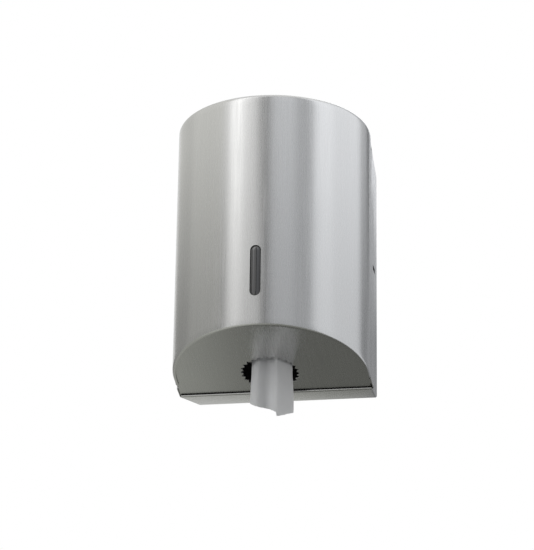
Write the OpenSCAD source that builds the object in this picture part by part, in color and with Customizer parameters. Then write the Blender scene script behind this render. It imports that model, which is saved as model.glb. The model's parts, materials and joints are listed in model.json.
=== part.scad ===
// Centre pull towel dispenser: a steel tray on the wall, a curved cover hinged on its left,
// a sloping base with a toothed outlet, and a paper roll that is drawn from its middle.
// Millimetres. The wall is the plane y = 0, the front faces -Y and +Z is up.
// The origin is the centre of the wall fixing. Heights in the modules are counted from the
// cover's lower edge beside the plan centre, and in_place() takes them to the origin.

/* [Case] */
// Overall width of the case
case_w = 240; // [220:1:280]
// Height of the cover beside the plan centre
case_h = 324; // [310:1:380]
// Thickness of the steel sheet
sheet = 1; // [0.8:0.1:1.4]
// Slope of the cover's lower edge, front edge higher, in degrees
base_slope = 12; // [6:0.5:15]
// Straight length of the cover's sides behind the round front
straight_side = 10; // [8:0.5:20]
// Radius of the rounded rim at the cover's top
top_round = 6; // [3:0.5:10]

/* [Back tray] */
// Depth of the tray's right side
side_depth = 55; // [50:1:70]
// Depth of the tray's bottom
bottom_depth = 33; // [28:1:38]
// Step from the cover's top down to the tray's front top edge
tray_drop = 13; // [8:1:20]
// Fall of the tray's top from its front edge to the wall
top_fall = 25; // [0:1:35]
// Width by which the hinge side is canted in at the wall
cant = 18; // [6:1:24]
// Gap between the cover's rear edge and the tray
edge_gap = 1; // [0.6:0.1:2]
// Size of the relief notches in the right side
notch = 3; // [1:0.5:5]
// Diameter of the wall screw holes
hole_d = 6.5; // [4:0.1:8]
// Spacing of the wall screw holes across
hole_dx = 140; // [100:1:160]
// Spacing of the wall screw holes upwards
hole_dz = 160; // [120:1:180]
// Height of the wall fixing's centre
mount_height = 140; // [130:1:160]

/* [Base and outlet] */
// Height of the base's underside above the plane of the cover's lower edge
base_recess = 1.3; // [1:0.1:4]
// Gap between the base's round edge and the cover that swings past it
swing_gap = 1.2; // [1:0.1:3]
// Length of the base that runs in over the tray's bottom before it turns flat
base_tuck = 8; // [4:1:12]
// Length of the flat rear lip of the base
lip_len = 13; // [6:1:14]
// Clear radius of the outlet inside its teeth
outlet_r = 32.3; // [32:0.1:36]
// Depth of the outlet's teeth
tooth_depth = 4; // [2:0.5:6]
// Number of teeth round the outlet
teeth = 26; // [12:1:40]
// Distance of the outlet's centre from the wall
outlet_reach = 76; // [72:1:90]

/* [Shelf and guide] */
// Thickness of the shelf
shelf_t = 1.2; // [1:0.1:2]
// Half width of the shelf
shelf_half = 92; // [88:1:96]
// Reach of the shelf from the wall
shelf_reach = 152; // [130:1:160]
// Gap between the shelf's round corners and the cover
shelf_gap = 12; // [8:1:20]
// Depth of the ribs under the shelf
rib_depth = 12; // [8:1:16]
// Reach of the ribs from the wall
rib_reach = 110; // [80:1:120]
// Room between the ribs and the base
rib_room = 2; // [1:0.5:5]
// Height of the shelf's riveted rear flange
flange_h = 15; // [12:1:18]
// Wall of the outlet guide
guide_wall = 2.5; // [1.5:0.1:4]
// Width of the guide's flange
guide_flange = 7.5; // [6.5:0.5:10]
// Thickness of the guide's flange
guide_flange_t = 2; // [1.5:0.1:3]
// Radius of the rivet shanks
rivet_r = 1.6; // [1:0.1:2]
// Radius of the rivet heads
rivet_head_r = 3; // [2.4:0.1:3.2]
// Thickness of the rivet heads
rivet_head_t = 1.2; // [0.8:0.1:1.6]

/* [Hinge] */
// Outer radius of the hinge knuckles
knuckle_r = 2.75; // [2.5:0.05:3.5]
// Radius of the hinge pin
pin_r = 1.5; // [1:0.1:1.8]
// Number of knuckles
knuckles = 9; // [5:2:15]
// Height of the hinge's lower end
hinge_low = 3; // [2:1:20]
// Length of the hinge
hinge_len = 297; // [200:1:299]
// Width of the tray's hinge leaf
tray_leaf_w = 16; // [10:1:18]

/* [Latch] */
// Height of the latch
latch_height = 150; // [110:1:190]
// Length of the slot for the button
slot_l = 18; // [12:1:20]
// Height of the slot for the button
slot_h = 6; // [5:0.5:8]
// Travel of the button
press = 4; // [3.5:0.1:5]
// Length of the button behind its slot
button_l = 9; // [8:0.5:12]
// Thickness of the hook
hook_t = 2; // [1.5:0.1:3]
// Room for the spring behind the hook
spring_room = 10; // [9:0.5:14]
// Middle radius of the spring
spring_r = 3.1; // [3:0.1:3.5]
// Wire diameter of the spring
wire_d = 0.8; // [0.5:0.1:1]
// Turns of the spring
turns = 5; // [3:1:5]

/* [Window] */
// Height of the window's middle
window_height = 94; // [85:1:120]
// Length of the window
window_l = 64; // [40:1:80]
// Width of the window
window_w = 13; // [10:0.5:18]
// How far the window stands out of the cover
window_proud = 0.6; // [0.2:0.1:1.5]
// Thickness of the window's flange
window_flange = 1.5; // [1:0.1:2]
// Border of the window's flange round the opening
window_border = 4; // [3:0.5:6]
// Thickness of the window's clamping frame
frame_t = 1.2; // [0.8:0.1:1.6]
// Radius of the frame's studs
stud_r = 1.5; // [1:0.1:1.8]

/* [Paper] */
// Room between the roll and the studs behind the window
roll_front_room = 3.5; // [2:0.5:20]
// Height of the roll
roll_h = 215; // [150:1:225]
// Radius of the hole that the paper is drawn from
core_r = 32.5; // [32:0.5:40]
// Half width of the gathered tail
tail_half_w = 27; // [20:0.5:27.5]
// Half depth of the gathered tail
tail_half_d = 20; // [12:0.5:20.5]
// Height of the tail's folds
fold_h = 1.6; // [0.5:0.1:2]
// Number of folds round the tail
folds = 9; // [5:1:12]
// Thickness of the gathered layers
tail_t = 1.2; // [0.6:0.1:2]
// How far the tail hangs below the cover's lower edge
tail_drop = 62; // [30:1:90]
// How far the tail reaches up into the roll
tail_rise = 60; // [55:1:90]

/* [Hidden] */
$fn = 96;

// Plan: half the width is the radius of the round front
half_w = case_w / 2;
inner_w = half_w - sheet;
rear_y = -(side_depth + edge_gap);
plan_y = rear_y - straight_side;

// Cutting blocks run past what they cut: a little, past the base, or past the whole case
over = 1;
past = 40;
far = 2 * (case_w + case_h);

// Heights
wrap_top = case_h - top_round;
tray_front_top = case_h - tray_drop;
base_end_y = base_tuck - bottom_depth;
tray_floor = lower_edge(base_end_y) + base_recess;
tray_low = tray_floor - sheet;
shelf_low = base_top(-rib_reach) + rib_room + rib_depth;
shelf_top = shelf_low + shelf_t;

// Fits
rivet_fit = 0.02;
pin_fit = 0.05;
button_fit = 0.3;
window_fit = 0.3;
seat = 0.05;

// Hinge axis and the room round it
knuckle_gap = 0.4;
leaf_gap = 0.45;
wrap_gap = 0.9;
tray_gap = 1.9;
pin_head = 1.5;
hinge_x = knuckle_r - half_w;
hinge_y = rear_y;
wrap_left_y = hinge_y - knuckle_r - wrap_gap;
tray_left_y = hinge_y + knuckle_r + tray_gap;
knuckle_pitch = hinge_len / knuckles;

// Latch: the button's shoulder, the catch plate on the cover and the hook's nose
button_side = 2;
button_recess = 0.4;
slot_y = -side_depth / 2;
strike_in = 5;
strike_half = 8;
strike_room = 2;
strike_end_y = slot_y - slot_l / 2 - button_side - strike_room;
nose_half = 2.5;
nose_room = 1;
nose_land = 5.5;
nose_past = 2;
nose_y = strike_end_y - nose_land - nose_room - nose_half;
hook_half = slot_h / 2 + button_side;
hook_x = inner_w - button_l - hook_t;
hook_head_t = 1.2;
housing_x = hook_x - spring_room;
housing_half = hook_half + button_fit;
housing_l = slot_l + 2 * button_side + 2 * button_fit;
housing_foot = 10;

// Outlet guide
guide_clear = 0.7;
guide_r = outlet_r + tooth_depth + guide_clear;
guide_flange_r = guide_r + guide_wall + guide_flange;
guide_rivet_ring = guide_r + guide_wall + guide_flange / 2;

// Window fixing
stud_set = 9;
stud_l = 7.5;
frame_end = 15;
frame_lap = 2;
nut_r = 2.12 * stud_r;
nut_t = 2.4;

// Paper
roll_room = 1.8;
roll_back = sheet + shelf_t + roll_room;
roll_front = inner_w - plan_y - stud_l - roll_front_room;
roll_forward = 13;
roll_y = -outlet_reach - roll_forward;
roll_r = min(roll_front + roll_y, -roll_y - roll_back);
tail_forward = 8;
tail_y = -outlet_reach - tail_forward;
tail_open = 56;
tail_steps = 8 * folds;

// Height of the plane of the cover's lower edge at depth y
function lower_edge(y) = -tan(base_slope) * (y - plan_y);

// Height of the base's upper face at depth y
function base_top(y) = lower_edge(y) + base_recess + sheet / cos(base_slope);

module in_place() {
    translate([0, 0, -mount_height])
        children();
}

// Layer parallel to the cover's lower edge, from low to high above it
module edge_layer(low, high) {
    translate([-far / 2, plan_y, 0])
        rotate([-base_slope, 0, 0])
            translate([0, -far / 2, low])
                cube([far, far, high - low]);
}

// Layer parallel to the tray's sloping top, from low to high above it
module top_layer(low, high) {
    translate([-far / 2, -side_depth, tray_front_top])
        rotate([-atan(top_fall / side_depth), 0, 0])
            translate([0, -far / 2, low])
                cube([far, far, high - low]);
}

// Round front half of a ring about the plan centre
module half_ring(inner, outer, low, high) {
    intersection() {
        translate([0, plan_y, low])
            difference() {
                cylinder(r = outer, h = high - low);
                translate([0, 0, -over])
                    cylinder(r = inner, h = high - low + 2 * over);
            }
        translate([-far / 2, plan_y - far, low])
            cube([far, far, high - low]);
    }
}

// Solid with a round front about the plan centre and straight sides back to the depth back
module round_front(radius, back, low, high) {
    intersection() {
        translate([0, plan_y, low])
            cylinder(r = radius, h = high - low);
        translate([-far / 2, plan_y - far, low])
            cube([far, far, high - low]);
    }
    translate([-radius, plan_y, low])
        cube([2 * radius, back - plan_y, high - low]);
}

// Upright bar with round ends that runs out through the front of the cover at the window
module window_bar(length, width) {
    straight = (length - width) / 2;
    translate([0, plan_y, window_height])
        rotate([90, 0, 0]) {
            for (side = [-1, 1])
                translate([0, side * straight, 0])
                    cylinder(d = width, h = half_w + past);
            translate([-width / 2, -straight, 0])
                cube([width, 2 * straight, half_w + past]);
        }
}

// Plan of the tray's walls: right side, back and canted hinge side
module tray_walls_plan() {
    slant = sqrt(cant * cant + bottom_depth * bottom_depth);
    back_left = cant - half_w;
    polygon([
        [half_w, -side_depth],
        [half_w, 0],
        [back_left, 0],
        [-half_w, -bottom_depth],
        [-half_w, tray_left_y],
        [-inner_w, tray_left_y],
        [-inner_w, (bottom_depth * (sheet - cant) - sheet * slant) / cant],
        [back_left + sheet * (slant - cant) / bottom_depth, -sheet],
        [inner_w, -sheet],
        [inner_w, -side_depth]
    ]);
}

// Plan of the whole tray, back from the given fronts
module tray_plan(front_left, front_right) {
    polygon([
        [half_w, front_right],
        [half_w, 0],
        [cant - half_w, 0],
        [-half_w, -bottom_depth],
        [-half_w, front_left]
    ]);
}

// Plan of the outlet, with teeth that point inwards
module outlet_plan() {
    polygon([
        for (i = [0 : 2 * teeth - 1])
            (outlet_r + (i % 2) * tooth_depth) * [cos(i * 180 / teeth), sin(i * 180 / teeth)]
    ]);
}

// Rivet along +Z: its shank starts at z = 0 and its head lies below
module rivet(grip, head_r, head_t) {
    translate([0, 0, -head_t])
        cylinder(r = head_r, h = head_t);
    translate([0, 0, -head_t / 2])
        cylinder(r = rivet_r, h = grip + head_t / 2);
}

module at_shelf_rivets() {
    for (share = [-0.8, -0.3, 0.3, 0.8])
        translate([share * shelf_half, 0, shelf_top + flange_h / 2])
            children();
}

module at_guide_rivets() {
    for (turn = [90, 210, 330])
        translate([0, -outlet_reach, 0])
            rotate([0, 0, turn])
                translate([guide_rivet_ring, 0, 0])
                    children();
}

module at_window_studs() {
    for (side = [-1, 1])
        translate([0, plan_y, window_height + side * (window_l / 2 + stud_set)])
            rotate([90, 0, 0])
                children();
}

module back_tray() {
    color("silver")
        in_place()
            difference() {
                union() {
                    translate([0, 0, tray_low])
                        linear_extrude(tray_front_top - tray_low)
                            tray_walls_plan();
                    translate([0, 0, tray_low])
                        linear_extrude(sheet)
                            tray_plan(-bottom_depth, -bottom_depth);
                    intersection() {
                        translate([0, 0, tray_low])
                            linear_extrude(tray_front_top - tray_low)
                                tray_plan(tray_left_y, -side_depth);
                        top_layer(-sheet, 0);
                    }
                }
                top_layer(0, past);
                intersection() {
                    edge_layer(-past, 0);
                    translate([-far / 2, -far - bottom_depth, -far / 2])
                        cube([far, far, far]);
                }
                for (x = [-1, 1], z = [-1, 1])
                    translate([x * hole_dx / 2, sheet, mount_height + z * hole_dz / 2])
                        rotate([90, 0, 0])
                            cylinder(d = hole_d, h = 3 * sheet);
                at_shelf_rivets()
                    translate([0, sheet, 0])
                        rotate([90, 0, 0])
                            cylinder(r = rivet_r + rivet_fit, h = 3 * sheet);
                translate([inner_w - sheet, slot_y - slot_l / 2, latch_height - slot_h / 2])
                    cube([3 * sheet, slot_l, slot_h]);
                translate([inner_w - sheet, -bottom_depth - notch, tray_low - over])
                    cube([3 * sheet, notch, lower_edge(-bottom_depth) - tray_low + over + notch]);
                translate([inner_w - sheet, notch - side_depth, tray_front_top - 2 * notch])
                    cube([3 * sheet, notch, notch / 2]);
            }
}

module base_plate() {
    neck_left = cant + 2 * sheet - half_w;
    neck_w = inner_w - neck_left;
    tall = lower_edge(plan_y - half_w) - tray_low + past;
    color("gray")
        in_place()
            difference() {
                union() {
                    intersection() {
                        union() {
                            round_front(inner_w - swing_gap, tray_left_y + over, tray_low, tray_low + tall);
                            translate([-inner_w, tray_left_y, tray_low])
                                cube([2 * inner_w, -bottom_depth - sheet - tray_left_y, tall]);
                            translate([neck_left, -bottom_depth - 2 * sheet, tray_low])
                                cube([neck_w, base_tuck + 2 * sheet, tall]);
                        }
                        translate([0, 0, base_recess])
                            edge_layer(0, sheet);
                    }
                    translate([neck_left, base_end_y - sheet, tray_floor])
                        cube([neck_w, lip_len, sheet]);
                }
                translate([0, -outlet_reach, tray_low])
                    linear_extrude(tall)
                        outlet_plan();
            }
}

module roll_shelf() {
    color("lightgray")
        in_place()
            difference() {
                union() {
                    intersection() {
                        round_front(inner_w - shelf_gap, -sheet, shelf_low, shelf_top);
                        translate([-shelf_half, -shelf_reach, shelf_low])
                            cube([2 * shelf_half, shelf_reach, shelf_t]);
                    }
                    translate([-shelf_half, -sheet - shelf_t, shelf_low])
                        cube([2 * shelf_half, shelf_t, shelf_t + flange_h]);
                    for (x = [-shelf_half, shelf_half - shelf_t])
                        translate([x, -rib_reach, shelf_low - rib_depth])
                            cube([shelf_t, rib_reach - sheet, rib_depth + shelf_t]);
                }
                translate([0, -outlet_reach, shelf_low - over])
                    cylinder(r = guide_r, h = shelf_t + 2 * over);
                at_shelf_rivets()
                    rotate([90, 0, 0])
                        cylinder(r = rivet_r + rivet_fit, h = 2 * (sheet + shelf_t));
                at_guide_rivets()
                    translate([0, 0, shelf_low - over])
                        cylinder(r = rivet_r + rivet_fit, h = shelf_t + 2 * over);
            }
}

module shelf_rivets() {
    color("dimgray")
        in_place()
            at_shelf_rivets()
                translate([0, -sheet - shelf_t, 0])
                    rotate([-90, 0, 0])
                        rivet(sheet + shelf_t, rivet_head_r, rivet_head_t);
}

module outlet_guide() {
    color("black")
        in_place()
            difference() {
                union() {
                    translate([0, -outlet_reach, tray_low])
                        cylinder(r = guide_r + guide_wall, h = shelf_low - tray_low);
                    translate([0, -outlet_reach, shelf_low - guide_flange_t])
                        cylinder(r = guide_flange_r, h = guide_flange_t);
                }
                translate([0, -outlet_reach, tray_low - over])
                    cylinder(r = guide_r, h = shelf_low - tray_low + 2 * over);
                translate([0, 0, base_recess])
                    edge_layer(-past, sheet);
                at_guide_rivets()
                    translate([0, 0, shelf_low - guide_flange_t - over])
                        cylinder(r = rivet_r + rivet_fit, h = guide_flange_t + 2 * over);
            }
}

module guide_rivets() {
    color("black")
        in_place()
            at_guide_rivets()
                translate([0, 0, shelf_low - guide_flange_t])
                    rivet(guide_flange_t + shelf_t, rivet_head_r, rivet_head_t);
}

// One hinge leaf with every second knuckle from first, its leaf between the two depths
module hinge_leaf(first, leaf_front, leaf_back) {
    web_front = min(leaf_front, hinge_y);
    web_back = max(leaf_back, hinge_y);
    difference() {
        union() {
            translate([-inner_w, leaf_front, hinge_low])
                cube([sheet, leaf_back - leaf_front, hinge_len]);
            for (i = [first : 2 : knuckles - 1])
                translate([0, 0, hinge_low + i * knuckle_pitch + knuckle_gap / 2]) {
                    translate([hinge_x, hinge_y, 0])
                        cylinder(r = knuckle_r, h = knuckle_pitch - knuckle_gap);
                    translate([-inner_w, web_front, 0])
                        cube([sheet, web_back - web_front, knuckle_pitch - knuckle_gap]);
                }
        }
        translate([hinge_x, hinge_y, hinge_low - over])
            cylinder(r = pin_r + pin_fit, h = hinge_len + 2 * over);
    }
}

module hinge_tray_leaf() {
    leaf_front = hinge_y + knuckle_r + leaf_gap;
    color("silver")
        in_place()
            hinge_leaf(0, leaf_front, leaf_front + tray_leaf_w);
}

module hinge_cover_leaf() {
    color("silver")
        in_place()
            hinge_leaf(1, plan_y, hinge_y - knuckle_r - leaf_gap);
}

module hinge_pin() {
    color("gray")
        in_place()
            translate([hinge_x, hinge_y, hinge_low]) {
                cylinder(r = pin_r, h = hinge_len);
                for (z = [-pin_head, hinge_len])
                    translate([0, 0, z])
                        cylinder(r = knuckle_r, h = pin_head);
            }
}

module cover_wrap() {
    low = lower_edge(rear_y) - past;
    color("lightgray")
        in_place()
            difference() {
                union() {
                    half_ring(inner_w, half_w, low, wrap_top);
                    translate([inner_w, plan_y, low])
                        cube([sheet, rear_y - plan_y, wrap_top - low]);
                    translate([-half_w, plan_y, low])
                        cube([sheet, wrap_left_y - plan_y, wrap_top - low]);
                }
                edge_layer(-far, 0);
                window_bar(window_l, window_w);
            }
}

// Half section of the space under the cover's top, drawn in by inset and filled from low
module top_fill(inset, low) {
    arc_x = half_w - top_round;
    translate([0, low])
        square([arc_x, case_h - inset - low]);
    translate([arc_x, wrap_top])
        intersection() {
            circle(r = top_round - inset);
            square(top_round);
        }
    if (low < wrap_top)
        translate([arc_x - over, low])
            square([top_round - inset + over, wrap_top - low]);
}

// Block of that section with the cover's round front, back to the depth back
module top_block(inset, low, back) {
    translate([0, plan_y, 0])
        rotate([0, 0, 180])
            rotate_extrude(angle = 180)
                top_fill(inset, low);
    for (side = [0, 1])
        mirror([side, 0, 0])
            translate([0, back, 0])
                rotate([90, 0, 0])
                    linear_extrude(back - plan_y)
                        top_fill(inset, low);
}

module cover_top() {
    lip_low = tray_front_top + edge_gap;
    color("lightgray")
        in_place() {
            difference() {
                top_block(0, wrap_top, rear_y);
                top_block(sheet, wrap_top - over, rear_y - sheet);
            }
            translate([-inner_w, rear_y - sheet, lip_low])
                cube([2 * inner_w, sheet, wrap_top + over - lip_low]);
        }
}

module strike_plate() {
    tab_x = inner_w - strike_in;
    web_y = rear_y - 2 * sheet;
    color("silver")
        in_place()
            difference() {
                translate([0, 0, latch_height - strike_half]) {
                    translate([inner_w - sheet, plan_y, 0])
                        cube([sheet, web_y + sheet - plan_y, 2 * strike_half]);
                    translate([tab_x, web_y, 0])
                        cube([strike_in, sheet, 2 * strike_half]);
                    translate([tab_x, web_y, 0])
                        cube([sheet, strike_end_y - web_y, 2 * strike_half]);
                }
                translate([tab_x - over, nose_y - nose_half - nose_room, latch_height - housing_half])
                    cube([sheet + 2 * over, 2 * (nose_half + nose_room), 2 * housing_half]);
            }
}

module sight_window() {
    low = window_height - window_l;
    high = window_height + window_l;
    flange_r = inner_w - seat;
    color("darkslategray")
        in_place() {
            intersection() {
                half_ring(flange_r - window_flange, half_w + window_proud, low, high);
                window_bar(window_l - 2 * window_fit, window_w - 2 * window_fit);
            }
            intersection() {
                half_ring(flange_r - window_flange, flange_r, low, high);
                window_bar(window_l + 2 * window_border, window_w + 2 * window_border);
            }
        }
}

module window_frame() {
    outer = inner_w - window_flange - 2 * seat;
    low = window_height - window_l;
    high = window_height + window_l;
    color("dimgray")
        in_place()
            difference() {
                intersection() {
                    half_ring(outer - frame_t, outer, low, high);
                    window_bar(window_l + 2 * frame_end, window_w + 2 * window_border);
                }
                window_bar(window_l - 2 * frame_lap, window_w - 2 * frame_lap);
                at_window_studs()
                    cylinder(r = stud_r + rivet_fit, h = half_w);
            }
}

module window_studs() {
    color("gray")
        in_place()
            intersection() {
                at_window_studs()
                    translate([0, 0, inner_w - stud_l])
                        cylinder(r = stud_r, h = stud_l + sheet);
                translate([0, plan_y, 0])
                    cylinder(r = inner_w - seat, h = case_h);
            }
}

module window_nuts() {
    seat_r = inner_w - window_flange - frame_t - 4 * seat;
    color("gray")
        in_place()
            at_window_studs()
                translate([0, 0, seat_r - nut_t])
                    difference() {
                        cylinder(r = nut_r, h = nut_t, $fn = 6);
                        translate([0, 0, -over])
                            cylinder(r = stud_r + rivet_fit, h = nut_t + 2 * over);
                    }
}

module latch_button() {
    body_l = slot_l + 2 * button_side;
    color("black")
        in_place()
            translate([inner_w - button_l, slot_y, latch_height])
                difference() {
                    union() {
                        translate([0, -body_l / 2, -hook_half])
                            cube([button_l - button_fit, body_l, 2 * hook_half]);
                        translate([0, button_fit - slot_l / 2, button_fit - slot_h / 2])
                            cube([
                                button_l + sheet - button_recess,
                                slot_l - 2 * button_fit,
                                slot_h - 2 * button_fit
                            ]);
                    }
                    translate([-over, 0, 0])
                        rotate([0, 90, 0])
                            cylinder(r = rivet_r + rivet_fit, h = button_l / 2 + over);
                }
}

module latch_hook() {
    nose_l = inner_w - strike_in + sheet + nose_past - hook_x;
    rear = slot_y + slot_l / 2 + button_side;
    front = nose_y - nose_half;
    color("silver")
        in_place()
            translate([hook_x, 0, latch_height])
                difference() {
                    translate([0, 0, -hook_half])
                        linear_extrude(2 * hook_half)
                            polygon([
                                [0, front],
                                [nose_l - press, front],
                                [nose_l, nose_y],
                                [nose_l, nose_y + nose_half],
                                [hook_t, nose_y + nose_half],
                                [hook_t, rear],
                                [0, rear]
                            ]);
                    translate([-over, slot_y, 0])
                        rotate([0, 90, 0])
                            cylinder(r = rivet_r + rivet_fit, h = hook_t + 2 * over);
                }
}

module hook_rivet() {
    color("gray")
        in_place()
            translate([hook_x, slot_y, latch_height])
                rotate([0, 90, 0])
                    rivet(hook_t + button_l / 2, spring_r - wire_d, hook_head_t);
}

module latch_housing() {
    color("lightgray")
        in_place()
            translate([0, slot_y - housing_l / 2, latch_height]) {
                translate([housing_x - sheet, 0, -housing_half - sheet])
                    cube([sheet, housing_l, 2 * (housing_half + sheet)]);
                for (side = [0, 1])
                    mirror([0, 0, side]) {
                        translate([housing_x - sheet, 0, housing_half])
                            cube([inner_w - housing_x + sheet, housing_l, sheet]);
                        translate([inner_w - sheet, 0, housing_half])
                            cube([sheet, housing_l, housing_foot]);
                    }
            }
}

// Spring: a tube of six sides, eight rings to a turn, from the housing to the hook
ring_turn = 45;
coil_steps = 360 / ring_turn * turns;
coil_start = housing_x + wire_d / 2 + seat;
coil_length = spring_room - wire_d - 2 * seat;

function coil_point(i) = [
    coil_start + coil_length * i / coil_steps,
    slot_y + spring_r * cos(ring_turn * i),
    latch_height + spring_r * sin(ring_turn * i)
];

function coil_corner(i, k) = coil_point(i)
    + wire_d / 2 * cos(60 * k) * [0, cos(ring_turn * i), sin(ring_turn * i)]
    + wire_d / 2 * sin(60 * k) * [1, 0, 0];

// Least clear distance between rings that lie more than half a turn apart
coil_gaps = [
    for (i = [0 : coil_steps], j = [i + 5 : 1 : coil_steps])
        norm(coil_point(i) - coil_point(j)) - wire_d
];
echo(latch_spring_least_gap = min(coil_gaps));

module latch_spring() {
    corners = [for (i = [0 : coil_steps], k = [0 : 5]) coil_corner(i, k)];
    sides = [
        for (i = [0 : coil_steps - 1], k = [0 : 5])
            let (a = 6 * i + k, b = 6 * i + (k + 1) % 6)
                for (face = [[a, b, a + 6], [b, b + 6, a + 6]]) face
    ];
    last = 6 * coil_steps;
    ends = [
        for (k = [1 : 4])
            for (face = [[0, k + 1, k], [last, last + k, last + k + 1]]) face
    ];
    color("darkgray")
        in_place()
            polyhedron(points = corners, faces = concat(sides, ends));
}

module paper_roll() {
    color("white")
        in_place()
            translate([0, roll_y, shelf_top])
                difference() {
                    cylinder(r = roll_r, h = roll_h);
                    translate([0, 0, -over])
                        cylinder(r = core_r, h = roll_h + 2 * over);
                }
}

// Point of the gathered paper's plan: a folded band round the outlet, open at the back
function tail_point(i, out) =
    let (
        turn = 90 + tail_open / 2 + (360 - tail_open) * i / tail_steps,
        ripple = fold_h * cos(folds * turn) + out
    )
        [(tail_half_w + ripple) * cos(turn), (tail_half_d + ripple) * sin(turn)];

module paper_tail() {
    tail_front_y = tail_y - tail_half_d - fold_h - tail_t / 2;
    torn_x = tail_half_w / 3;
    torn_step = 5;
    torn_slope = 18;
    torn_lean = 24;
    color("whitesmoke")
        in_place()
            difference() {
                translate([0, tail_y, -tail_drop])
                    linear_extrude(tail_drop + shelf_top + tail_rise)
                        polygon(concat(
                            [for (i = [0 : tail_steps]) tail_point(i, tail_t / 2)],
                            [for (i = [tail_steps : -1 : 0]) tail_point(i, -tail_t / 2)]
                        ));
                translate([0, tail_front_y, -tail_drop])
                    rotate([torn_lean, 0, 0]) {
                        translate([-case_w / 2, -case_w / 2, -past])
                            cube([case_w, case_w, past]);
                        translate([torn_x, 0, torn_step])
                            rotate([0, torn_slope, 0])
                                translate([-case_w, -case_w / 2, -past])
                                    cube([case_w, case_w, past]);
                    }
            }
}

back_tray();
base_plate();
roll_shelf();
shelf_rivets();
outlet_guide();
guide_rivets();
hinge_tray_leaf();
hinge_cover_leaf();
hinge_pin();
cover_wrap();
cover_top();
strike_plate();
sight_window();
window_frame();
window_studs();
window_nuts();
latch_button();
latch_hook();
hook_rivet();
latch_housing();
latch_spring();
paper_roll();
paper_tail();
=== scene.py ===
"""Looks of a wall-mounted centre pull towel dispenser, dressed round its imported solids.

Every length is in metres unless a name says otherwise. The wall is the plane y = 0, the front
faces -Y, +X is the viewer's right and +Z is up.
"""
import json
import logging
import math
from dataclasses import dataclass, field
from enum import Enum
from functools import cache
from typing import Any, NamedTuple, Sequence

import bpy
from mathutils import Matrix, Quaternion, Vector


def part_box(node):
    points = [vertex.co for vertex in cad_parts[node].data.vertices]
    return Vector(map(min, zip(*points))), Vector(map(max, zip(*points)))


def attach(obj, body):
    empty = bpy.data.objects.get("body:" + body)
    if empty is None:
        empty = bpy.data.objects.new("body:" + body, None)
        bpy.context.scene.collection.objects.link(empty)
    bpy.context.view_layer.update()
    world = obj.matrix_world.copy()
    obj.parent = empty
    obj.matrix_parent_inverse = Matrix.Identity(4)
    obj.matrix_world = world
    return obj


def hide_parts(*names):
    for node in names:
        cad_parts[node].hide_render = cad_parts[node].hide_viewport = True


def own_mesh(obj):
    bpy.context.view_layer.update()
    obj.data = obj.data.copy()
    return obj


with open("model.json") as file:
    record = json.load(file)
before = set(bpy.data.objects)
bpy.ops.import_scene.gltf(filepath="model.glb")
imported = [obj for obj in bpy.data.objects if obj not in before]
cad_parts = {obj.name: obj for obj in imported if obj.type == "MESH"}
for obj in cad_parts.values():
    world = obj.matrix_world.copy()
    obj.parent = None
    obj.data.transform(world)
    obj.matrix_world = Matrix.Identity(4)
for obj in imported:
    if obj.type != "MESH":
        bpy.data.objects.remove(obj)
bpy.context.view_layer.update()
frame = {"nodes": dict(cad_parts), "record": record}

LOG = logging.getLogger("dispenser")
MM = 0.001
# Share of a half width that keeps two round corners from doubling a point where they meet
ROUND_END = 0.999
Pair = tuple[float, float]
Point = tuple[float, float, float]
Face = tuple[int, ...]


class Axis(Enum):
    """Axes of the frame, by their place in a point."""

    X = 0
    Y = 1
    Z = 2


class Grain(Enum):
    """Way that a brushing belt ran over the steel: whether the grain is fine along X, Y and Z."""

    UPRIGHT = (True, True, False)
    DEPTH = (True, False, False)
    ACROSS = (False, True, True)


class Station(NamedTuple):
    """A place on a plan outline, with the direction that points out of the case there."""

    x: float
    y: float
    out_x: float
    out_y: float


def to_linear(colour: str) -> tuple[float, float, float, float]:
    """Turn an sRGB hex colour into linear red, green, blue and alpha.

    Args:
        colour: six hex digits after a hash.

    Returns:
        The linear values, with an alpha of 1.
    """
    shares = [int(colour[i:i + 2], 16) / 255 for i in (1, 3, 5)]
    red, green, blue = [c / 12.92 if c <= 0.04045 else ((c + 0.055) / 1.055) ** 2.4 for c in shares]
    return red, green, blue, 1.0


def add_node(
        tree: bpy.types.NodeTree, kind: str, inputs: dict[Any, Any], **settings: Any) -> bpy.types.Node:
    """Add a node, set it up and link it.

    Args:
        tree: the tree that gets the node.
        kind: the node's type name.
        inputs: what each input takes, by its name or number: a socket to link from, or a value.
        settings: the node's own settings.

    Returns:
        The new node.
    """
    node = tree.nodes.new(kind)
    for name, value in settings.items():
        setattr(node, name, value)
    for socket, value in inputs.items():
        if isinstance(value, bpy.types.NodeSocket):
            tree.links.new(value, node.inputs[socket])
        else:
            node.inputs[socket].default_value = value
    return node


def empty_material(name: str) -> tuple[bpy.types.Material, bpy.types.NodeTree]:
    """Make a material with no nodes.

    Args:
        name: the material's name.

    Returns:
        The material and its tree.
    """
    material = bpy.data.materials.new(name)
    material.use_nodes = True
    material.node_tree.nodes.clear()
    return material, material.node_tree


def mesh_object(name: str, points: Sequence[Point], faces: Sequence[Face]) -> bpy.types.Object:
    """Make a mesh object in the scene.

    Args:
        name: the piece's name.
        points: its corners.
        faces: the corners of each face, by number.

    Returns:
        The new object.
    """
    mesh = bpy.data.meshes.new(name)
    mesh.from_pydata(points, [], faces)
    mesh.validate()
    obj = bpy.data.objects.new(name, mesh)
    bpy.context.scene.collection.objects.link(obj)
    return obj


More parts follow.
